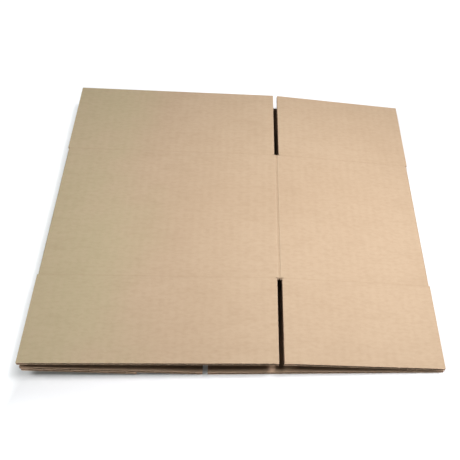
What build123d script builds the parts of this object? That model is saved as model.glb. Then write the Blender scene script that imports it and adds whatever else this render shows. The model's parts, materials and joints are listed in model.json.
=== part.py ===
from build123d import *
import math
import os

# Flattened slotted carton, lying on its lower wide panel, half sprung open.
# X runs across the four panels, Y along the carton's height, Z up.
# The flutes of the corrugated board run along Y.

# Board
board = 4.0             # thickness of the single-wall board
liner = 0.45            # thickness of each facing sheet
medium = 0.4            # thickness of the wavy sheet between the facings
flute_pitch = 7.8       # length of one full wave
flute_steps = 4         # straight steps that make one trough of the wave
flute_bond = 1.1        # width of wave glued to a facing between two channels

# Panels, measured level across the flattened carton
wide_panel = 221.5
narrow_panel = 148.5
crease_offset = 6.0     # the lower crease and slots lie this far right of the mirrored place

# Lengths along the flutes
body_length = 154.6     # between the two rows of flap scores
near_flap = 84.8
far_flap = 93.0

# Slots between the flaps
slot_width = 4.6

# Glue lap, wrapped round the left fold and glued under the lower left panel
lap_width = 95.0

# How far the carton has sprung open
left_lift = 13.0        # floor to the underside of the lap at the left fold
crease_top = 24.6       # floor to the upper surface at the upper crease
left_play = 5.0         # air between the layers in the left fold
right_play = 1.0        # air between the layers in the right fold
fold_setback = 0.3      # the folds stay this far inside the flap edges
fold_corner = 2.2       # outer rounding of the board where it turns into a fold
lap_cut = 3.0           # air between the lower left panel's cut edge and the left fold

# Scores and creases
score_gap = 0.3         # cut between a hinged flap and the body
score_width = 3.0       # width of a pressed groove
score_depth = 0.5       # depth of a pressed groove
crushed_length = 4.0    # flat board between a flap's score and the end of its flutes

# Derived sizes
carton_width = wide_panel + narrow_panel
carton_length = near_flap + body_length + far_flap
left_x = -carton_width / 2
right_x = carton_width / 2
near_y = -carton_length / 2
near_score_y = near_y + near_flap
far_score_y = near_score_y + body_length
far_y = far_score_y + far_flap
upper_crease_x = left_x + wide_panel
lower_crease_x = right_x - wide_panel + crease_offset
fold_left_x = left_x + fold_setback
fold_right_x = right_x - fold_setback


def at_x(start, end, x):
    """Point at a level distance x on the line through two points of the section."""
    share = (x - start[0]) / (end[0] - start[0])
    return (x, start[1] + share * (end[1] - start[1]))


def section_plane(y):
    """Section of the carton at y, drawn with local x and y along world X and Z."""
    return Plane(origin=(0, y, 0), x_dir=(1, 0, 0), z_dir=(0, -1, 0))


# Middle lines of the boards, as points (x, z) of the section
upper_crease = (upper_crease_x, crease_top - board / 2)
lower_crease = (lower_crease_x, board / 2)
upper_left_edge = (left_x, left_lift + 2.5 * board + left_play)
upper_right_edge = (right_x, 1.5 * board + right_play)
lower_left_edge = (left_x, left_lift + 1.5 * board)
lower_right_edge = (right_x, board / 2)

lower_left_slope = math.atan2(lower_crease[1] - lower_left_edge[1], lower_crease[0] - left_x)
lap_drop = board / math.cos(lower_left_slope)
lap_edge = (left_x, lower_left_edge[1] - lap_drop)
lap_below_crease = (lower_crease_x, lower_crease[1] - lap_drop)


def board_line(start, end, x_from, x_to):
    """Middle line of a board on the line through two points, cut at two levels of x."""
    return at_x(start, end, x_from), at_x(start, end, x_to)


upper_left_line = board_line(upper_left_edge, upper_crease, fold_left_x + board / 2, upper_crease_x)
upper_right_line = board_line(upper_crease, upper_right_edge, upper_crease_x, fold_right_x - board / 2)
lower_left_line = board_line(lower_left_edge, lower_crease, fold_left_x + board + lap_cut, lower_crease_x)
lower_right_line = (lower_crease, (fold_right_x - board / 2, board / 2))
lap_line = board_line(lap_edge, lap_below_crease, fold_left_x + board / 2, left_x + lap_width)

wide_flap_line = board_line(upper_left_edge, upper_crease, left_x, upper_crease_x - slot_width / 2)
narrow_flap_line = board_line(upper_crease, upper_right_edge, upper_crease_x + slot_width / 2, right_x)
lower_narrow_line = board_line(lower_left_edge, lower_crease, left_x, lower_crease_x - slot_width / 2)
lower_wide_line = board_line(lower_crease, lower_right_edge, lower_crease_x + slot_width / 2, right_x)
lap_flap_line = board_line(lap_edge, lap_below_crease, left_x, left_x + lap_width)
lower_narrow_bare = board_line(lower_left_edge, lower_crease, left_x + lap_width, lower_crease_x)


def line_frame(line):
    """Length, middle and slope in degrees of a board's middle line."""
    (x0, z0), (x1, z1) = line
    slope = math.degrees(math.atan2(z1 - z0, x1 - x0))
    return math.dist(line[0], line[1]), Location(((x0 + x1) / 2, (z0 + z1) / 2, 0), (0, 0, slope))


def draw_board(line):
    """Add the plain section of one board to the open sketch."""
    length, place = line_frame(line)
    with Locations(place):
        Rectangle(length, board)


def channel_outline(side):
    """One open channel between the wave and a facing; side is 1 above and -1 below."""
    half = (flute_pitch - flute_bond) / 2
    top = board / 2 - liner
    swing = top - medium / 2
    points = [(-half, top), (half, top)]
    for step in range(flute_steps + 1):
        x = half - 2 * half * step / flute_steps
        wave = -swing * math.cos(math.pi * x / half) + medium / 2
        points.append((x, min(wave, top - liner / 2)))
    return [(x, side * z) for x, z in points]


def draw_channels(line):
    """Add the channels of one board to the open sketch."""
    length, place = line_frame(line)
    count = int((length - flute_pitch) // flute_pitch)
    with Locations(place):
        with GridLocations(flute_pitch, 0, count, 1):
            Polygon(*channel_outline(1))
        with Locations((flute_pitch / 2, 0)):
            with GridLocations(flute_pitch, 0, count, 1):
                Polygon(*channel_outline(-1))


def score_plane(line, score_y):
    """Plane across the start of a score on a board's lower face, drawn with local x along Y."""
    (x0, z0), (x1, z1) = face_point(line, line[0][0], -1), face_point(line, line[1][0], -1)
    return Plane(origin=(x0, score_y, z0), x_dir=(0, 1, 0), z_dir=(x1 - x0, 0, z1 - z0))


def groove_outline():
    """Outline whose lower or upper half is a pressed groove in a face through its middle."""
    half = score_width / 2
    floor = half / 2
    return [
        (-half, 0), (-floor, -score_depth), (floor, -score_depth),
        (half, 0), (floor, score_depth), (-floor, score_depth),
    ]


def face_point(line, x, side):
    """Point of a board's upper (1) or lower (-1) face at a level distance x."""
    slope = math.atan2(line[1][1] - line[0][1], line[1][0] - line[0][0])
    return (x, at_x(*line, x)[1] + side * board / 2 / math.cos(slope))


def fold_outline(upper, lower, outer_x, inner_x):
    """Corners of the board that closes a fold between two boards' outer faces."""
    return [
        face_point(upper, outer_x, 1),
        face_point(upper, inner_x, 1),
        face_point(lower, inner_x, -1),
        face_point(lower, outer_x, -1),
    ]


def upper_flap(line, free_y, score_y):
    """Hinged flap from its free edge to the middle of the score that carries it."""
    inward = 1 if score_y > free_y else -1
    length = abs(score_y - free_y) - score_gap / 2
    with BuildPart() as flap:
        with BuildSketch(section_plane(free_y)):
            draw_board(line)
        extrude(amount=-inward * length)
        with BuildSketch(section_plane(free_y)):
            draw_channels(line)
        extrude(amount=-inward * (length - crushed_length), mode=Mode.SUBTRACT)
        hinge_edges = flap.edges().group_by(Axis.Y)[-1 if inward == 1 else 0]
        chamfer(hinge_edges.group_by(Axis.Z)[-1].sort_by(SortBy.LENGTH)[-1], score_depth / 2)
    return flap.part


# Body: four panels, two folds, the lap and the flaps of the lower layer
with BuildPart() as folded_body:
    with BuildSketch(section_plane(far_score_y - score_gap / 2)) as upper_section:
        Polygon(*fold_outline(upper_left_line, lap_line, fold_left_x, fold_left_x + board))
        Polygon(*fold_outline(upper_right_line, lower_right_line, fold_right_x, fold_right_x - board))
        columns = upper_section.vertices().group_by(Axis.X)
        fillet(columns[0] + columns[-1], fold_corner)
        draw_board(upper_left_line)
        draw_board(upper_right_line)
        with Locations(upper_crease):
            Circle(board / 2)
        with Locations((upper_crease_x, crease_top)):
            Polygon(*groove_outline(), mode=Mode.SUBTRACT)
    extrude(amount=body_length - score_gap)

    with BuildSketch(section_plane(far_score_y)):
        draw_board(lower_left_line)
        draw_board(lower_right_line)
        with Locations(lower_crease):
            Circle(board / 2)
        draw_board(lap_line)
        with Locations((lower_crease_x, 0)):
            Polygon(*groove_outline(), mode=Mode.SUBTRACT)
    extrude(amount=body_length)

    for free_y, score_y in ((near_y, near_score_y), (far_y, far_score_y)):
        inward = math.copysign(1, score_y - free_y)
        with BuildSketch(section_plane(free_y)):
            for line in (lower_narrow_line, lower_wide_line, lap_flap_line):
                draw_board(line)
        extrude(amount=free_y - score_y)
        with BuildSketch(section_plane(free_y)):
            for line in (lower_narrow_line, lower_wide_line, lap_flap_line):
                draw_channels(line)
        extrude(amount=free_y - score_y + inward * crushed_length, mode=Mode.SUBTRACT)

        for line in (lower_narrow_bare, lower_wide_line, lap_flap_line):
            with BuildSketch(score_plane(line, score_y)):
                Polygon(*groove_outline())
            extrude(amount=math.dist(*line), mode=Mode.SUBTRACT)

folded_body.part.label = "folded_body"

os.makedirs("parts", exist_ok=True)
export_step(folded_body.part, "parts/folded_body.step")

flap_rows = (("near", near_y, near_score_y), ("far", far_y, far_score_y))
flap_lines = (("wide", wide_flap_line), ("narrow", narrow_flap_line))
for row, free_y, score_y in flap_rows:
    for width, line in flap_lines:
        flap_part = upper_flap(line, free_y, score_y)
        flap_part.label = f"{row}_{width}_flap"
        export_step(flap_part, f"parts/{flap_part.label}.step")
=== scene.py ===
import json
import math
import random

import bmesh
import bpy
from bpy.props import FloatProperty, FloatVectorProperty, IntProperty, PointerProperty
from mathutils import Matrix, Vector


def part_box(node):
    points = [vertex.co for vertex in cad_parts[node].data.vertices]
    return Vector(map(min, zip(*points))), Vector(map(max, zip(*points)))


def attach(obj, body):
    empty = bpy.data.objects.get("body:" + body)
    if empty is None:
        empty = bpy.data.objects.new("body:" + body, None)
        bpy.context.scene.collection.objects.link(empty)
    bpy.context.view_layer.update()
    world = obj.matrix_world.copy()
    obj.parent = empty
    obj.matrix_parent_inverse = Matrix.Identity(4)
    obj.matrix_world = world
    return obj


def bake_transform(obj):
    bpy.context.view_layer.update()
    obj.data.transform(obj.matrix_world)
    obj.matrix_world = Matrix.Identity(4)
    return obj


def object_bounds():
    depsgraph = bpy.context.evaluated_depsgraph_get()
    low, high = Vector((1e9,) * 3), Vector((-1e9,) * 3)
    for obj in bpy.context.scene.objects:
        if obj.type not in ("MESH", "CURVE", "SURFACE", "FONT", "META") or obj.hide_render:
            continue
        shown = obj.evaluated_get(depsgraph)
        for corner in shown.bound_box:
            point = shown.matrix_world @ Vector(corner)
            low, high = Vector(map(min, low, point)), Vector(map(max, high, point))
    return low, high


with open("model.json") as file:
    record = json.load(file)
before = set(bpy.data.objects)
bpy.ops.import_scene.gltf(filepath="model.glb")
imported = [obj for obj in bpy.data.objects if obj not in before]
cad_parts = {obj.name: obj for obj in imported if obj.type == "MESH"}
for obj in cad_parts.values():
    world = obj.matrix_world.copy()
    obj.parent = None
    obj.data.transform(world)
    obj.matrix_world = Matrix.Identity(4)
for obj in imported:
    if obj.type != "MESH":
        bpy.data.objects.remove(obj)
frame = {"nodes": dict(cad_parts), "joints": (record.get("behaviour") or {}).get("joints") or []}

CAD_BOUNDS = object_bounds()

bl_info = {
    "name": "Flattened Carton Looks",
    "version": (1, 0, 0),
    "blender": (4, 5, 0),
    "location": "View3D > Sidebar > Carton",
    "description": "Dresses a flattened corrugated carton and sets a pale studio round it",
    "category": "Object",
}

BODY = "folded_body"
ROWS = ("near", "far")
WIDTHS = ("wide", "narrow")


# Settings


class CartonBoard(bpy.types.PropertyGroup):
    """Sizes and colours of the corrugated board."""

    kraft: FloatVectorProperty(
        name="Kraft", description="Main colour of the facing paper",
        subtype="COLOR", size=3, min=0, max=1, default=(0.362, 0.28, 0.195),
    )
    # The olive end is partly the paper's own tone and partly a painted tint of the greenish light
    # on the left end.
    olive: FloatVectorProperty(
        name="Olive kraft", description="Colour of the facing paper's greener end",
        subtype="COLOR", size=3, min=0, max=1, default=(0.357, 0.307, 0.202),
    )
    olive_from: FloatProperty(
        name="Olive from", description="Level place where the greener end begins",
        subtype="DISTANCE", unit="LENGTH", default=-0.07,
    )
    olive_to: FloatProperty(
        name="Olive to", description="Level place where the paper is at its greenest",
        subtype="DISTANCE", unit="LENGTH", default=-0.16,
    )
    # Pale fibre also gives the painted highlight along the crease's edges.
    pale: FloatVectorProperty(
        name="Pale fibre", description="Colour of the lighter patches and torn paper",
        subtype="COLOR", size=3, min=0, max=1, default=(0.41, 0.328, 0.237),
    )
    # Dark fibre also gives the painted shade in the crease and the score lines.
    dark: FloatVectorProperty(
        name="Dark fibre", description="Colour of the darker patches and specks",
        subtype="COLOR", size=3, min=0, max=1, default=(0.283, 0.211, 0.137),
    )
    # Inner paper is painted shade: a darker colour on the faces inside the carton.
    inner: FloatVectorProperty(
        name="Inner paper", description="Colour of the facing paper inside the carton",
        subtype="COLOR", size=3, min=0, max=1, default=(0.3, 0.21, 0.142),
    )
    # The cut colour is partly the fluted paper's own colour and partly painted shade in the flute
    # hollows.
    cut: FloatVectorProperty(
        name="Cut edge", description="Colour of the fluted middle where the board is cut across",
        subtype="COLOR", size=3, min=0, max=1, default=(0.2, 0.125, 0.078),
    )
    # The cut facing colour is partly the paper's own cut edge and partly a painted highlight where
    # it catches light.
    facing_cut: FloatVectorProperty(
        name="Cut facing", description="Colour of the facing paper's own cut edge",
        subtype="COLOR", size=3, min=0, max=1, default=(0.72, 0.52, 0.37),
    )
    # The lip colour is painted light: paler paper for the lit strip along the lower layer's free
    # edges.
    lit_lip: FloatVectorProperty(
        name="Worn lip", description="Colour of the paper along the lower layer's free edges",
        subtype="COLOR", size=3, min=0, max=1, default=(0.5, 0.375, 0.27),
    )
    pitch: FloatProperty(
        name="Flute pitch", description="Length of one full wave of the board",
        subtype="DISTANCE", unit="LENGTH", min=0, default=0.0078,
    )
    crease_half: FloatProperty(
        name="Crease half width", description="Half the width of the pressed line at a crease",
        subtype="DISTANCE", unit="LENGTH", min=0, default=0.0016,
    )
    crease_core: FloatProperty(
        name="Crease core", description="Half the width of the dark line in a crease",
        subtype="DISTANCE", unit="LENGTH", min=0, default=0.00045,
    )


class ScoreFill(bpy.types.PropertyGroup):
    """Sizes of the board that closes the cut at each flap's score."""

    segments: IntProperty(
        name="Segments", description="Number of strips across the bend", min=2, default=12,
    )
    inset: FloatProperty(
        name="End inset", description="How far the bent board stays inside the flap's sides",
        subtype="DISTANCE", unit="LENGTH", min=0, default=0.0016,
    )
    top_drop: FloatProperty(
        name="Top drop", description="Depth of the pressed line below the board's surface",
        subtype="DISTANCE", unit="LENGTH", min=0, default=0.00004,
    )
    overlap: FloatProperty(
        name="Overlap", description="How far the bent board reaches into the flap",
        subtype="DISTANCE", unit="LENGTH", min=0, default=0.0004,
    )
    under_rise: FloatProperty(
        name="Under rise", description="Height of the bent board's underside above the flap's",
        subtype="DISTANCE", unit="LENGTH", min=0, default=0.0003,
    )


class TornPaper(bpy.types.PropertyGroup):
    """Sizes of the torn paper left at the inner ends of the slots."""

    reach: FloatProperty(
        name="Reach", description="Longest tongue, from the slot's end toward the free edge",
        subtype="DISTANCE", unit="LENGTH", min=0, default=0.0032,
    )
    thickness: FloatProperty(
        name="Thickness", description="Thickness of the torn paper",
        subtype="DISTANCE", unit="LENGTH", min=0, default=0.0004,
    )
    droop: FloatProperty(
        name="Droop", description="How far the tip of a tongue hangs down",
        subtype="DISTANCE", unit="LENGTH", min=0, default=0.0011,
    )
    notch: FloatProperty(
        name="Notch", description="Length of a tongue's middle, as a share of its two prongs",
        subtype="FACTOR", min=0, max=1, default=0.25,
    )
    steps: IntProperty(
        name="Steps", description="Points along a tongue's ragged tip", min=3, default=11,
    )
    seed: IntProperty(name="Seed", description="Seed of the ragged outline", default=7)


class Studio(bpy.types.PropertyGroup):
    """Camera, floor and lights."""

    camera_place: FloatVectorProperty(
        name="Camera place", description="Where the camera stands",
        subtype="XYZ", unit="LENGTH", size=3, default=(0.00708, -0.35364, 0.50112),
    )
    pitch: FloatProperty(
        name="Pitch", description="Angle that the camera looks down by",
        subtype="ANGLE", default=math.radians(55.348),
    )
    yaw: FloatProperty(
        name="Yaw", description="Turn of the camera about the vertical",
        subtype="ANGLE", default=math.radians(-6.802),
    )
    roll: FloatProperty(
        name="Roll", description="Turn of the camera about its line of sight",
        subtype="ANGLE", default=math.radians(6.098),
    )
    lens: FloatProperty(
        name="Lens", description="Focal length in millimetres", min=1, default=45.39,
    )
    shift: FloatProperty(
        name="Shift", description="Sideways shift of the lens", default=-0.126,
    )
    floor_radius: FloatProperty(
        name="Floor radius", description="Distance from the middle to the paper wall",
        subtype="DISTANCE", unit="LENGTH", min=0, default=3.6,
    )
    wall_height: FloatProperty(
        name="Wall height", description="Height of the paper wall round the floor",
        subtype="DISTANCE", unit="LENGTH", min=0, default=1.2,
    )
    wall_bend: FloatProperty(
        name="Wall bend", description="Radius of the bend between the floor and the wall",
        subtype="DISTANCE", unit="LENGTH", min=0, default=0.9,
    )
    floor_tone: FloatVectorProperty(
        name="Floor tone", description="Colour of the floor",
        subtype="COLOR", size=3, min=0, max=1, default=(0.6, 0.613, 0.62),
    )
    floor_glow: FloatProperty(
        name="Floor glow", description="Light that the floor gives off far from the carton",
        min=0, default=0.9,
    )
    near_glow: FloatProperty(
        name="Near glow", description="Share of the floor's glow that is left beside the carton",
        subtype="FACTOR", min=0, max=1, default=0.11,
    )
    glow_reach: FloatProperty(
        name="Glow reach", description="Distance from the carton beyond which the glow is full",
        subtype="DISTANCE", unit="LENGTH", min=0, default=0.07,
    )
    sky_tone: FloatVectorProperty(
        name="Sky tone", description="Colour of the light from all round",
        subtype="COLOR", size=3, min=0, max=1, default=(0.82, 0.95, 1.0),
    )
    sky_strength: FloatProperty(
        name="Sky strength", description="Strength of the light from all round",
        min=0, default=0.02,
    )
    left_power: FloatProperty(
        name="Left power", description="Power of the long softbox on the left",
        unit="POWER", min=0, default=38.0,
    )
    right_power: FloatProperty(
        name="Right power", description="Power of the long softbox on the right",
        unit="POWER", min=0, default=22.5,
    )
    side_place: FloatVectorProperty(
        name="Side place", description="Where the right softbox stands; the left one mirrors it",
        subtype="XYZ", unit="LENGTH", size=3, default=(0.95, -0.22, 2.2),
    )
    softbox_width: FloatProperty(
        name="Softbox width", description="Width of both softboxes",
        subtype="DISTANCE", unit="LENGTH", min=0, default=0.7,
    )
    softbox_length: FloatProperty(
        name="Softbox length", description="Length of both softboxes, along the flutes",
        subtype="DISTANCE", unit="LENGTH", min=0, default=1.2,
    )
    display_gamma: FloatProperty(
        name="Display gamma", description="Gamma of the display; below 1 deepens the shadows",
        min=0.1, default=0.85,
    )
    key_power: FloatProperty(
        name="Key power", description="Power of the light over the narrow panel",
        unit="POWER", min=0, default=71.0,
    )
    key_place: FloatVectorProperty(
        name="Key place", description="Where the key light stands",
        subtype="XYZ", unit="LENGTH", size=3, default=(0.55, -0.02, 1.15),
    )
    key_aim: FloatVectorProperty(
        name="Key aim", description="The spot that the key light is aimed at",
        subtype="XYZ", unit="LENGTH", size=3, default=(0.13, -0.03, 0.0),
    )
    key_cone: FloatProperty(
        name="Key cone", description="Opening angle of the key light",
        subtype="ANGLE", default=math.radians(38),
    )
    key_radius: FloatProperty(
        name="Key radius", description="Radius of the key light, which softens its shadows",
        subtype="DISTANCE", unit="LENGTH", min=0, default=0.18,
    )
    key_tone: FloatVectorProperty(
        name="Key tone", description="Colour of the key light",
        subtype="COLOR", size=3, min=0, max=1, default=(1.0, 0.94, 0.96),
    )


class CartonLooks(bpy.types.PropertyGroup):
    """All settings of the carton's looks."""

    board: PointerProperty(
        name="Board", description="Corrugated board", type=CartonBoard,
    )
    fill: PointerProperty(
        name="Score fill", description="Bent board at the scores", type=ScoreFill,
    )
    torn: PointerProperty(
        name="Torn paper", description="Torn paper in the slots", type=TornPaper,
    )
    studio: PointerProperty(
        name="Studio", description="Camera, floor and lights", type=Studio,
    )


# Places in the frame


def flap_name(row, width):
    """Name of an upper flap, which is its node and its body."""
    return f"{row}_{width}_flap"


def joint_of(body):
    """The joint that carries a body."""
    return next(j for j in frame["joints"] if j["child"] == body)


def crease_x():
    """Level place of the upper crease, midway between the near flaps."""
    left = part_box(flap_name("near", "wide"))[1].x
    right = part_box(flap_name("near", "narrow"))[0].x
    return (left + right) / 2


def score_y(row):
    """Place of a row's scores along the flutes."""
    return joint_of(flap_name(row, "wide"))["pos_m"][1]


# Node graphs

# Places of the colour sockets on a Mix node, whose names repeat
MIX_FIRST, MIX_SECOND, MIX_RESULT = 6, 7, 2


class Wire:
    """A number socket that can be used in sums."""

    def __init__(self, graph, socket):
        self.graph = graph
        self.socket = socket

    def _sum(self, operation, *values):
        inputs = dict(enumerate(values))
        node = self.graph.node("ShaderNodeMath", {"operation": operation}, inputs)
        return Wire(self.graph, node.outputs[0])

    def __add__(self, other):
        return self._sum("ADD", self, other)

    def __sub__(self, other):
        return self._sum("SUBTRACT", self, other)

    def __mul__(self, other):
        return self._sum("MULTIPLY", self, other)

    def __gt__(self, other):
        return self._sum("GREATER_THAN", self, other)

    def __lt__(self, other):
        return self._sum("LESS_THAN", self, other)

    def __abs__(self):
        return self._sum("ABSOLUTE", self)

    def __radd__(self, other):
        return self._sum("ADD", other, self)

    def __rsub__(self, other):
        return self._sum("SUBTRACT", other, self)

    def __rmul__(self, other):
        return self._sum("MULTIPLY", other, self)

    def sine(self):
        """Sine of the number."""
        return self._sum("SINE", self)

    def at_most(self, other):
        """The lower of two numbers."""
        return self._sum("MINIMUM", self, other)

    def at_least(self, other):
        """The higher of two numbers."""
        return self._sum("MAXIMUM", self, other)

    def ramp(self, low, high):
        """0 at low and 1 at high, smooth between."""
        inputs = {"Value": self, "From Min": low, "From Max": high, "To Min": 0.0, "To Max": 1.0}
        settings = {"interpolation_type": "SMOOTHSTEP"}
        node = self.graph.node("ShaderNodeMapRange", settings, inputs)
        return Wire(self.graph, node.outputs[0])


class Graph:
    """A material's node tree under construction."""

    def __init__(self, name):
        self.material = bpy.data.materials.new(name)
        self.material.use_nodes = True
        self.tree = self.material.node_tree
        self.shader = next(n for n in self.tree.nodes if n.type == "BSDF_PRINCIPLED")
        self.coordinates = self.node("ShaderNodeTexCoord")

    def node(self, kind, settings=None, inputs=None):
        """Adds a node, sets its properties and joins or fills its inputs."""
        made = self.tree.nodes.new(kind)
        for key, value in (settings or {}).items():
            setattr(made, key, value)
        for key, value in (inputs or {}).items():
            self.feed(made.inputs[key], value)
        return made

    def feed(self, socket, value):
        """Joins a wire or output to an input, or sets the input's own value."""
        if isinstance(value, Wire):
            value = value.socket
        if isinstance(value, bpy.types.NodeSocket):
            self.tree.links.new(value, socket)
        else:
            socket.default_value = value

    def place(self, scale=(1, 1, 1)):
        """Object coordinates, stretched by a scale on each axis."""
        inputs = {"Vector": self.coordinates.outputs["Object"], "Scale": scale}
        return self.node("ShaderNodeMapping", None, inputs).outputs[0]

    def parts(self, vector):
        """The three numbers of a vector."""
        split = self.node("ShaderNodeSeparateXYZ", None, {0: vector})
        return [Wire(self, output) for output in split.outputs]

    def noise(self, scale, stretch=(1, 1, 1), detail=4.0, roughness=0.55):
        """Soft random number from 0 to 1 that varies over the object."""
        inputs = {
            "Vector": self.place(stretch), "Scale": scale,
            "Detail": detail, "Roughness": roughness,
        }
        return Wire(self, self.node("ShaderNodeTexNoise", None, inputs).outputs[0])

    def blend(self, share, first, second):
        """Colour between two colours."""
        inputs = {"Factor": share, MIX_FIRST: first, MIX_SECOND: second}
        made = self.node("ShaderNodeMix", {"data_type": "RGBA"}, inputs)
        return made.outputs[MIX_RESULT]

    def bump(self, height, strength, distance):
        """Joins a height to the shader's normal."""
        inputs = {"Height": height, "Strength": strength, "Distance": distance}
        made = self.node("ShaderNodeBump", None, inputs)
        self.feed(self.shader.inputs["Normal"], made.outputs[0])


def solid(colour):
    """A colour with full opacity."""
    return (*colour, 1.0)


def near_line(value, line, core, half):
    """1 in a line's core and 0 beyond its half width."""
    return 1.0 - abs(value - line).ramp(core, half)


# Materials

# Scales of the paper's random patterns, and the ramps that turn them into shares
BLOTCH_SCALE, MOTTLE_SCALE, FIBRE_SCALE, SPECK_SCALE = 9.0, 70.0, 420.0, 900.0
FIBRE_STRETCH = (0.4, 1.0, 1.0)
BLOTCH_RAMP = (0.3, 0.7)
SPECK_RAMP = (0.70, 0.78)
MOTTLE_LIGHT_RAMP, MOTTLE_DARK_RAMP = (0.35, 0.7), (0.5, 0.25)
FIBRE_LIGHT_RAMP, FIBRE_DARK_RAMP = (0.4, 0.7), (0.55, 0.3)

# How much each pattern lightens, darkens or raises the paper
LIGHT_BLOTCH, LIGHT_MOTTLE, LIGHT_FIBRE = 0.3, 0.15, 0.2
DARK_FIBRE, DARK_SPECK, DARK_MOTTLE = 0.17, 0.5, 0.09
BUMP_FIBRE, BUMP_MOTTLE, BUMP_WAVE, BUMP_CREASE = 0.35, 0.25, 0.22, 0.8
BUMP_STRENGTH, BUMP_DISTANCE = 0.35, 0.0004
# Painted light and shade along the ridges over the flutes, beside their bump
WASHBOARD_PAINTED_SHADE = 0.05
OLIVE_WANDER = 0.05
BOARD_ROUGHNESS = (0.66, 0.86)
CUT_ROUGHNESS = 0.1
BOARD_SPECULAR = 0.28

# The slope between the two layers: its height in the middle and its fall to the right
LAYERS_Z, LAYERS_SLOPE = 0.014, 0.05135

# Beyond this level distance the board stands up as a fold's wall
FOLD_WALL_X = 0.178

# Painted shade on the paper inside the carton, and painted light on the lip along the lower
# layer's free edges
INNER_SHADE_SHARE = 0.9
LIP_WIDTH, LIP_FULL = 0.0045, 0.0025
LIP_SHARE = 0.9
LIP_FADE = (-0.15, -0.07)

# Pressed lines, with ramps as shares of the crease's widths; their colours are painted shade in
# the cores and a painted highlight along the crease's edges
FACE_NORMAL = (0.3, 0.7)
CREASE_EDGE_SHARE, CREASE_CORE_SHARE, SCORE_SHARE = 0.45, 0.25, 0.12
CREASE_EDGE_END = 0.8
CREASE_CORE_RAMP = (0.4, 1.6)
SCORE_RAMP = (0.5, 0.8)

# Cut edges: middle lines of the boards as (place, height there, slope)
BOARD_THICKNESS = 0.004
UPPER_LEFT_LINE = (-0.185, 0.028, -0.02438)
UPPER_RIGHT_LINE = (0.0365, 0.0226, -0.10505)
LOWER_LEFT_LINE = (-0.185, 0.019, -0.11003)
LOWER_RIGHT_Z = 0.002
FACING_RAMP = (0.0011, 0.0016)
CUT_NORMAL = (0.8, 0.95)
CUT_GRAIN_SCALE = 1500.0
CUT_GRAIN_RAMP = (0.3, 0.75)
CUT_GRAIN_SHARE = 0.3

# Torn paper
TORN_SCALE = 1800.0
TORN_STRETCH = (1.0, 0.35, 1.0)
TORN_RAMP = (0.3, 0.7)
TORN_ROUGHNESS = (0.8, 0.95)
TORN_STRENGTH, TORN_DISTANCE = 0.6, 0.0003

# Floor
BLACK = (0.0, 0.0, 0.0, 1.0)
CLOUD_SCALE, GRAIN_SCALE = 1.4, 260.0
CLOUD_RAMP = (0.3, 0.7)
CLOUD_DIP = 0.985
FLOOR_ROUGHNESS = (0.85, 0.95)
FLOOR_SPECULAR = 0.1
LEFT_GLOW_GAIN = 2.5


def line_height(x, line):
    """Height of a board's middle line, given as place, height there and slope."""
    place, height, slope = line
    return height + (x - place) * slope


def facing_share(x, z):
    """1 at the facings of the nearest board and 0 at its fluted middle."""
    upper = line_height(x, UPPER_LEFT_LINE).at_most(line_height(x, UPPER_RIGHT_LINE))
    lower = line_height(x, LOWER_LEFT_LINE)
    depth = abs(z - upper).at_most(abs(z - lower.at_least(LOWER_RIGHT_Z)))
    depth = depth.at_most(abs(z - lower + BOARD_THICKNESS))
    return depth.ramp(*FACING_RAMP)


def paper_grain(graph):
    """Blotches, mottle, fibres and specks of kraft paper, each from 0 to 1."""
    blotch = graph.noise(BLOTCH_SCALE, detail=3.0).ramp(*BLOTCH_RAMP)
    mottle = graph.noise(MOTTLE_SCALE, FIBRE_STRETCH, detail=5.0, roughness=0.6)
    fibre = graph.noise(FIBRE_SCALE, FIBRE_STRETCH, detail=6.0, roughness=0.65)
    speck = graph.noise(SPECK_SCALE, FIBRE_STRETCH, detail=2.0).ramp(*SPECK_RAMP)
    return blotch, mottle, fibre, speck


def cut_tone(graph, board, x, z):
    """Colour of the cut edges: pale facings with the darker flutes between them. The dark middle
    is partly the fluted paper and partly painted shade in the flute hollows, and the pale facings
    are partly a painted highlight where the cut edges catch light.
    """
    grain = graph.noise(CUT_GRAIN_SCALE, detail=2.0).ramp(*CUT_GRAIN_RAMP)
    tone = graph.blend(grain * CUT_GRAIN_SHARE, solid(board.cut), solid(board.kraft))
    return graph.blend(facing_share(x, z), tone, solid(board.facing_cut))


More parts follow.
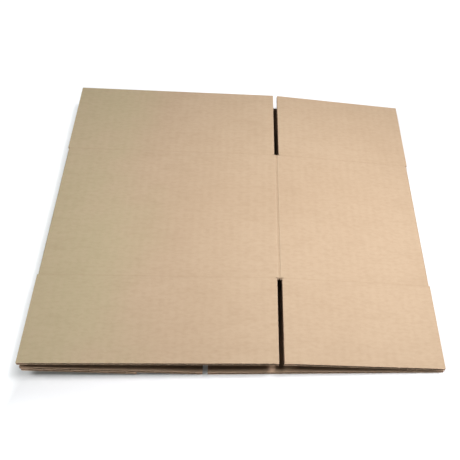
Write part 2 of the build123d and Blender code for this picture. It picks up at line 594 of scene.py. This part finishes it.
def board_material(board):
    """Kraft board with fibres, mottle, faint waves, cut edges and pressed lines, and painted light
    and shade on the waves, inside the carton, on the lower layer's lip, in the creases and on the
    cut edges.
    """
    graph = Graph("kraft_board_looks")
    x, y, z = graph.parts(graph.place())
    normal_x, normal_y, normal_z = graph.parts(graph.coordinates.outputs["Normal"])
    blotch, mottle, fibre, speck = paper_grain(graph)
    wave = (x * (math.tau / board.pitch)).sine()

    # Facing paper
    # Greener toward the left: partly the paper's own tone, partly a painted tint of the light on
    # the left end
    greener = (x + (blotch - 0.5) * OLIVE_WANDER).ramp(board.olive_from, board.olive_to)
    tone = graph.blend(greener, solid(board.kraft), solid(board.olive))
    light = blotch * LIGHT_BLOTCH + mottle.ramp(*MOTTLE_LIGHT_RAMP) * LIGHT_MOTTLE
    # The wave adds painted light and shade along the ridges over the flutes
    light = light + fibre.ramp(*FIBRE_LIGHT_RAMP) * LIGHT_FIBRE + wave * WASHBOARD_PAINTED_SHADE
    tone = graph.blend(light, tone, solid(board.pale))
    shade = fibre.ramp(*FIBRE_DARK_RAMP) * DARK_FIBRE + speck * DARK_SPECK
    shade = shade + mottle.ramp(*MOTTLE_DARK_RAMP) * DARK_MOTTLE
    tone = graph.blend(shade.at_most(1.0), tone, solid(board.dark))

    # Painted shade inside the carton, and painted light on the lower layer's lip
    above = z > LAYERS_Z - x * LAYERS_SLOPE
    facing_up = normal_z > 0.0
    between = (y > score_y("near")) * (y < score_y("far"))
    fold_wall = (abs(x) > FOLD_WALL_X) * between
    outer = (above * facing_up + (1.0 - above) * (1.0 - facing_up)).at_least(fold_wall)
    tone = graph.blend((1.0 - outer) * INNER_SHADE_SHARE, tone, solid(board.inner))
    free_y = CAD_BOUNDS[1][1]
    lip = (1.0 - above) * facing_up * abs(y).ramp(free_y - LIP_WIDTH, free_y - LIP_FULL)
    tone = graph.blend(lip * x.ramp(*LIP_FADE) * LIP_SHARE, tone, solid(board.lit_lip))

    # Crease and scores: painted shade in the pressed lines and a painted highlight along the
    # crease's edges
    upper = above * normal_z.ramp(*FACE_NORMAL)
    on_crease = upper * between
    crease_far = abs(x - crease_x())
    edge_end = board.crease_half * CREASE_EDGE_END
    crease_edge = near_line(crease_far, board.crease_half, 0.0, edge_end)
    crease_core = 1.0 - crease_far.ramp(*[board.crease_core * share for share in CREASE_CORE_RAMP])
    tone = graph.blend(crease_edge * on_crease * CREASE_EDGE_SHARE, tone, solid(board.pale))
    tone = graph.blend(crease_core * on_crease * CREASE_CORE_SHARE, tone, solid(board.dark))
    core, half = board.crease_core * SCORE_RAMP[0], board.crease_half * SCORE_RAMP[1]
    scores = [near_line(y, score_y(row), core, half) for row in ROWS]
    for pressed in scores:
        tone = graph.blend(pressed * upper * SCORE_SHARE, tone, solid(board.dark))

    # Cut edges, which leave out the fold walls and the boards' ends at the scores
    cut_side = abs(normal_y).at_least(abs(normal_x) * (1.0 - fold_wall)).ramp(*CUT_NORMAL)
    cut_side = cut_side * (1.0 - sum(scores))
    tone = graph.blend(cut_side, tone, cut_tone(graph, board, x, z))

    graph.feed(graph.shader.inputs["Base Color"], tone)
    low, high = BOARD_ROUGHNESS
    roughness = low + mottle * (high - low) + cut_side * CUT_ROUGHNESS
    graph.feed(graph.shader.inputs["Roughness"], roughness)
    graph.shader.inputs["Specular IOR Level"].default_value = BOARD_SPECULAR
    height = fibre * BUMP_FIBRE + mottle * BUMP_MOTTLE + wave * BUMP_WAVE
    height = height - crease_core * on_crease * BUMP_CREASE
    graph.bump(height, BUMP_STRENGTH, BUMP_DISTANCE)
    return graph.material


def torn_material(board):
    """Rough, pale inner fibres of torn paper."""
    graph = Graph("torn_paper_looks")
    fibre = graph.noise(TORN_SCALE, TORN_STRETCH, detail=5.0, roughness=0.7)
    tone = graph.blend(fibre.ramp(*TORN_RAMP), solid(board.kraft), solid(board.pale))
    graph.feed(graph.shader.inputs["Base Color"], tone)
    low, high = TORN_ROUGHNESS
    graph.feed(graph.shader.inputs["Roughness"], low + fibre * (high - low))
    graph.bump(fibre, TORN_STRENGTH, TORN_DISTANCE)
    return graph.material


def floor_material(studio):
    """Pale paper with a faint cloudiness, which glows more with distance from the carton."""
    graph = Graph("floor_paper")
    cloud = graph.noise(CLOUD_SCALE, detail=3.0)
    grain = graph.noise(GRAIN_SCALE, detail=3.0)
    dim = solid([part * CLOUD_DIP for part in studio.floor_tone])
    tone = graph.blend(cloud.ramp(*CLOUD_RAMP), dim, solid(studio.floor_tone))
    graph.feed(graph.shader.inputs["Base Color"], tone)
    low, high = FLOOR_ROUGHNESS
    graph.feed(graph.shader.inputs["Roughness"], low + grain * (high - low))
    x, y, _ = graph.parts(graph.place())
    left_of = (CAD_BOUNDS[0][0] - x) * LEFT_GLOW_GAIN
    away = left_of.at_least(x - CAD_BOUNDS[1][0]).at_least(abs(y) - CAD_BOUNDS[1][1])
    glow = studio.near_glow + away.ramp(0.0, studio.glow_reach) * (1.0 - studio.near_glow)
    graph.feed(graph.shader.inputs["Emission Color"], graph.blend(glow, BLACK, tone))
    graph.shader.inputs["Emission Strength"].default_value = studio.floor_glow
    graph.shader.inputs["Specular IOR Level"].default_value = FLOOR_SPECULAR
    return graph.material


# Shapes

FLOOR_SEGMENTS = 96
BEND_SEGMENTS = 12

# Vertices this near a flap's end belong to it
END_TOLERANCE = 1e-5

# Row, direction to the free edge, share of the slot's width and share of the reach
TONGUES = (("near", -1, 0.9, 0.6), ("far", 1, 0.6, 0.3))

# Torn paper: rows of points, range of the ragged lengths, and unevenness and depth
# below the board's surface as shares of the paper's thickness
TONGUE_ROWS = 4
RAGGED_RANGE = (0.55, 1.0)
UNEVENNESS = 0.2
TONGUE_DEPTH = 2.5


def new_piece(name, bm, material):
    """Object made from a bmesh, which it frees."""
    mesh = bpy.data.meshes.new(name)
    bm.to_mesh(mesh)
    bm.free()
    mesh.materials.append(material)
    piece = bpy.data.objects.new(name, mesh)
    bpy.context.scene.collection.objects.link(piece)
    return piece


def flap_end(row, width):
    """Place of a flap's end at its score, and its corners: both lower, then both upper ones."""
    name = flap_name(row, width)
    low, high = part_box(name)
    end = high.y if row == "near" else low.y
    points = [vert.co for vert in frame["nodes"][name].data.vertices]
    corners = [point for point in points if abs(point.y - end) < END_TOLERANCE]
    middle = (low.x + high.x) / 2
    left = [point for point in corners if point.x < middle]
    right = [point for point in corners if point.x > middle]
    ends = [pick(side, key=lambda point: point.z) for pick in (min, max) for side in (left, right)]
    return end, ends


def build_fill(fill, row, width, material):
    """The board between a flap's end and the body, in strips across the score."""
    end, (low_left, low_right, high_left, high_right) = flap_end(row, width)
    other_end = 2 * score_y(row) - end
    inner_end = end + math.copysign(fill.overlap, end - other_end)
    slope = math.atan2(low_right.z - low_left.z, low_right.x - low_left.x)
    level = (low_right.x - low_left.x + high_right.x - high_left.x) / 2 - 2 * fill.inset
    middle = (low_left + low_right + high_left + high_right) / 4
    height = (high_left - low_left).length - fill.top_drop - fill.under_rise
    lift = (fill.under_rise - fill.top_drop) / 2
    place = Matrix.Translation((middle.x, (inner_end + other_end) / 2, middle.z))
    place @= Matrix.Rotation(-slope, 4, "Y") @ Matrix.Translation((0, 0, lift))
    size = Matrix.Diagonal((level / math.cos(slope), abs(inner_end - other_end), height, 1))

    bm = bmesh.new()
    bmesh.ops.create_cube(bm, size=1.0)
    across = [e for e in bm.edges if abs(e.verts[0].co.y - e.verts[1].co.y) > 0.5]
    bmesh.ops.subdivide_edges(bm, edges=across, cuts=fill.segments - 1, use_grid_fill=True)
    bmesh.ops.transform(bm, matrix=place @ size, verts=bm.verts)
    piece = new_piece(f"{row}_{width}_score_bend", bm, material)
    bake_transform(piece)


def build_tongue(torn, name, spot, size, toward, rng, material):
    """A ragged tongue of paper at a slot's inner end, hanging toward the free edge."""
    across, reach = size
    bm = bmesh.new()
    bmesh.ops.create_grid(bm, x_segments=torn.steps, y_segments=TONGUE_ROWS, size=0.5)
    tips = {}
    for vert in bm.verts:
        column = round(vert.co.x, 4)
        ragged = tips.setdefault(column, rng.uniform(*RAGGED_RANGE))
        out = vert.co.y + 0.5
        shape = torn.notch + (1 - torn.notch) * math.sin(math.pi * vert.co.x) ** 2
        uneven = torn.thickness * rng.uniform(-UNEVENNESS, UNEVENNESS)
        vert.co.z = -torn.droop * out * out + uneven
        vert.co.y = toward * reach * out * ragged * shape
        vert.co.x *= across
    bmesh.ops.solidify(bm, geom=bm.faces[:], thickness=torn.thickness)
    bmesh.ops.recalc_face_normals(bm, faces=bm.faces[:])
    bmesh.ops.translate(bm, vec=spot, verts=bm.verts)
    piece = new_piece(name, bm, material)
    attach(piece, BODY)


# Operators


class CARTON_OT_finish_board(bpy.types.Operator):
    """Give every board its kraft paper looks"""

    bl_idname = "carton.finish_board"
    bl_label = "Finish Board"

    def execute(self, context):
        """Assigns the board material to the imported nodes."""
        material = board_material(context.scene.carton_looks.board)
        for node in frame["nodes"].values():
            for place in node.material_slots:
                place.material = material
        return {"FINISHED"}


class CARTON_OT_add_score_bends(bpy.types.Operator):
    """Close the cut at each flap's score with a strip of board"""

    bl_idname = "carton.add_score_bends"
    bl_label = "Add Score Bends"

    def execute(self, context):
        """Builds one bend for each upper flap."""
        looks = context.scene.carton_looks
        material = frame["nodes"][BODY].data.materials[0]
        for row in ROWS:
            for width in WIDTHS:
                build_fill(looks.fill, row, width, material)
        return {"FINISHED"}


class CARTON_OT_add_torn_paper(bpy.types.Operator):
    """Leave ragged paper at the inner ends of the slots"""

    bl_idname = "carton.add_torn_paper"
    bl_label = "Add Torn Paper"

    def execute(self, context):
        """Builds the tongues at the near and far slots."""
        looks = context.scene.carton_looks
        torn = looks.torn
        material = torn_material(looks.board)
        rng = random.Random(torn.seed)
        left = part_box(flap_name("near", "wide"))[1].x
        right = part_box(flap_name("near", "narrow"))[0].x
        slot = right - left
        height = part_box(flap_name("near", "narrow"))[1].z
        depth = TONGUE_DEPTH * torn.thickness
        for row, toward, across, along in TONGUES:
            end, _ = flap_end(row, "wide")
            spot = Vector(((left + right) / 2, 2 * score_y(row) - end, height - depth))
            name = f"{row}_slot_tongue"
            size = (slot * across, torn.reach * along)
            build_tongue(torn, name, spot, size, toward, rng, material)
        return {"FINISHED"}


class CARTON_OT_set_stage(bpy.types.Operator):
    """Set the floor, the lights and the camera"""

    bl_idname = "carton.set_stage"
    bl_label = "Set Stage"

    def execute(self, context):
        """Builds the studio."""
        studio = context.scene.carton_looks.studio
        build_floor(studio, floor_material(studio))

        world = bpy.data.worlds.new("studio_sky")
        context.scene.world = world
        world.use_nodes = True
        sky = next(n for n in world.node_tree.nodes if n.type == "BACKGROUND")
        sky.inputs["Color"].default_value = solid(studio.sky_tone)
        sky.inputs["Strength"].default_value = studio.sky_strength

        context.scene.view_settings.view_transform = "Standard"
        context.scene.view_settings.gamma = studio.display_gamma
        x, y, z = studio.side_place
        add_softbox(studio, "left_softbox", studio.left_power, (-x, y, z))
        add_softbox(studio, "right_softbox", studio.right_power, (x, y, z))
        add_key(studio)
        add_camera(studio)
        return {"FINISHED"}


def build_floor(studio, material):
    """A round floor whose paper bends up into a low wall."""
    bm = bmesh.new()
    bmesh.ops.create_circle(bm, cap_ends=True, segments=FLOOR_SEGMENTS, radius=studio.floor_radius)
    rim = bm.edges[:]
    raised = bmesh.ops.extrude_edge_only(bm, edges=rim)["geom"]
    top = [part for part in raised if isinstance(part, bmesh.types.BMVert)]
    bmesh.ops.translate(bm, vec=(0, 0, studio.wall_height), verts=top)
    bmesh.ops.bevel(
        bm, geom=rim, offset=studio.wall_bend, offset_type="OFFSET", affect="EDGES",
        segments=BEND_SEGMENTS, profile=0.5, material=-1,
    )
    bmesh.ops.recalc_face_normals(bm, faces=bm.faces[:])
    for face in bm.faces:
        face.smooth = len(face.verts) == 4
    return new_piece("studio_floor", bm, material)


def aim_lamp(lamp, place, target):
    """Puts a lamp in the scene, pointed at a target."""
    lamp.location = place
    lamp.rotation_euler = (Vector(target) - Vector(place)).to_track_quat("-Z", "Y").to_euler()
    bpy.context.scene.collection.objects.link(lamp)


def add_softbox(studio, name, power, place):
    """A long softbox that faces the carton."""
    light = bpy.data.lights.new(name, "AREA")
    light.shape = "RECTANGLE"
    light.size = studio.softbox_width
    light.size_y = studio.softbox_length
    light.energy = power
    aim_lamp(bpy.data.objects.new(name, light), place, (0, 0, 0))


def add_key(studio):
    """The soft key light, brightest over the narrow panel."""
    light = bpy.data.lights.new("key_light", "SPOT")
    light.energy = studio.key_power
    light.color = studio.key_tone
    light.spot_size = studio.key_cone
    light.spot_blend = 1.0
    light.shadow_soft_size = studio.key_radius
    lamp = bpy.data.objects.new("key_light", light)
    aim_lamp(lamp, studio.key_place, studio.key_aim)


def add_camera(studio):
    """The camera at the photograph's angle."""
    data = bpy.data.cameras.new("photo_camera")
    data.lens = studio.lens
    data.shift_x = studio.shift
    camera = bpy.data.objects.new("photo_camera", data)
    look = Matrix.Rotation(math.pi / 2 - studio.pitch, 3, "X")
    turn = Matrix.Rotation(studio.yaw, 3, "Z")
    roll = Matrix.Rotation(studio.roll, 3, "Z")
    camera.matrix_world = Matrix.Translation(studio.camera_place) @ (turn @ look @ roll).to_4x4()
    bpy.context.scene.collection.objects.link(camera)
    bpy.context.scene.camera = camera


class CARTON_PT_looks(bpy.types.Panel):
    """Buttons and settings of the carton's looks"""

    bl_idname = "CARTON_PT_looks"
    bl_label = "Carton"
    bl_space_type = "VIEW_3D"
    bl_region_type = "UI"
    bl_category = "Carton"

    def draw(self, context):
        """Lists the operators and their settings."""
        for operator in OPERATORS:
            self.layout.operator(operator.bl_idname)
        looks = context.scene.carton_looks
        for group in (looks.board, looks.fill, looks.torn, looks.studio):
            column = self.layout.column()
            for key in group.__annotations__:
                column.prop(group, key)


SETTINGS = (CartonBoard, ScoreFill, TornPaper, Studio, CartonLooks)
OPERATORS = (
    CARTON_OT_finish_board,
    CARTON_OT_add_score_bends,
    CARTON_OT_add_torn_paper,
    CARTON_OT_set_stage,
)


def register():
    """Adds the settings, operators and panel."""
    for kind in (*SETTINGS, *OPERATORS, CARTON_PT_looks):
        bpy.utils.register_class(kind)
    bpy.types.Scene.carton_looks = PointerProperty(type=CartonLooks)


def unregister():
    """Removes the settings, operators and panel."""
    del bpy.types.Scene.carton_looks
    for kind in reversed((*SETTINGS, *OPERATORS, CARTON_PT_looks)):
        bpy.utils.unregister_class(kind)


def main():
    """Builds the looks and the studio."""
    register()
    bpy.ops.carton.finish_board()
    bpy.ops.carton.add_score_bends()
    bpy.ops.carton.add_torn_paper()
    bpy.ops.carton.set_stage()


if __name__ == "__main__":
    main()
